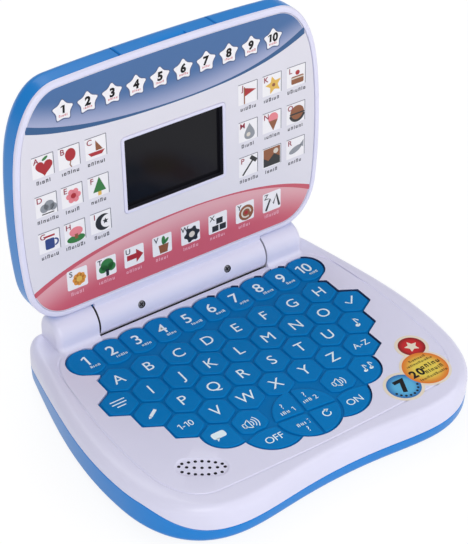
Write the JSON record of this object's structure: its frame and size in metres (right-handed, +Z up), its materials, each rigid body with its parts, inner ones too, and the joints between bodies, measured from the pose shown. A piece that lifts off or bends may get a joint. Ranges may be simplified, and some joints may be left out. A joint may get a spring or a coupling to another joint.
{
  "type": "toy laptop computer",
  "caption": "Clamshell toy laptop computer: a base with a membrane keyboard and speaker grille, and a hinged lid with a small display window in a printed faceplate.",
  "frame": {"origin": "middle of the footprint of the whole object with the lid open, on the surface that the feet stand on", "axes": "+X to the typist's right along the hinge, +Y from the front edge to the hinge, +Z up; stored with the lid open"},
  "size_m": [0.221, 0.1818, 0.1902],
  "materials": {
    "white_shell": "satin",
    "blue_shell": "satin",
    "key_rubber": "satin",
    "mat_rubber": "matte",
    "circuit_board": "satin",
    "zinc_steel": "satin",
    "dark_steel": "satin",
    "speaker_steel": "satin",
    "cone_paper": "matte",
    "magnet_ferrite": "matte",
    "cell_wrap": "satin",
    "foot_rubber": "matte",
    "sticker_film": "gloss",
    "bush_plastic": "matte",
    "faceplate_film": "satin",
    "window_plastic": "gloss",
    "display_glass": "satin",
    "holder_plastic": "matte",
    "strip_rubber": "matte"
  },
  "bodies": {
    "base": {"base_top_cover": "white_shell", "base_bottom_shell": "blue_shell", "key_sheet": "key_rubber", "contact_mat": "mat_rubber", "key_board": "circuit_board", "key_board_screws": "zinc_steel", "speaker_frame": "speaker_steel", "speaker_cone": "cone_paper", "speaker_magnet": "magnet_ferrite", "speaker_screws": "zinc_steel", "battery_cover": "blue_shell", "battery_cover_screw": "zinc_steel", "battery_cells": "cell_wrap", "battery_plates": "zinc_steel", "battery_springs": "zinc_steel", "housing_screws": "zinc_steel", "rubber_feet": "foot_rubber", "badge_sticker": "sticker_film", "hinge_bush_left": "bush_plastic", "hinge_bush_right": "bush_plastic"},
    "lid": {"hinge_pin_left": "zinc_steel", "hinge_pin_right": "zinc_steel", "lid_front_frame": "white_shell", "lid_back_shell": "blue_shell", "lid_faceplate": "faceplate_film", "display_window": "window_plastic", "lcd_panel": "display_glass", "lcd_holder": "holder_plastic", "contact_strips": "strip_rubber", "display_board": "circuit_board", "display_board_screws": "zinc_steel", "lid_screws": "zinc_steel", "barrel_screws": "dark_steel", "lift_grip": "blue_shell"}
  },
  "joints": [
    {"name": "lid_hinge", "type": "hinge", "parent": "base", "child": "lid", "pos_m": [0, 0.07101, 0.0317], "axis": [1, 0, 0], "range_deg": [-20, 92.6]}
  ]
}
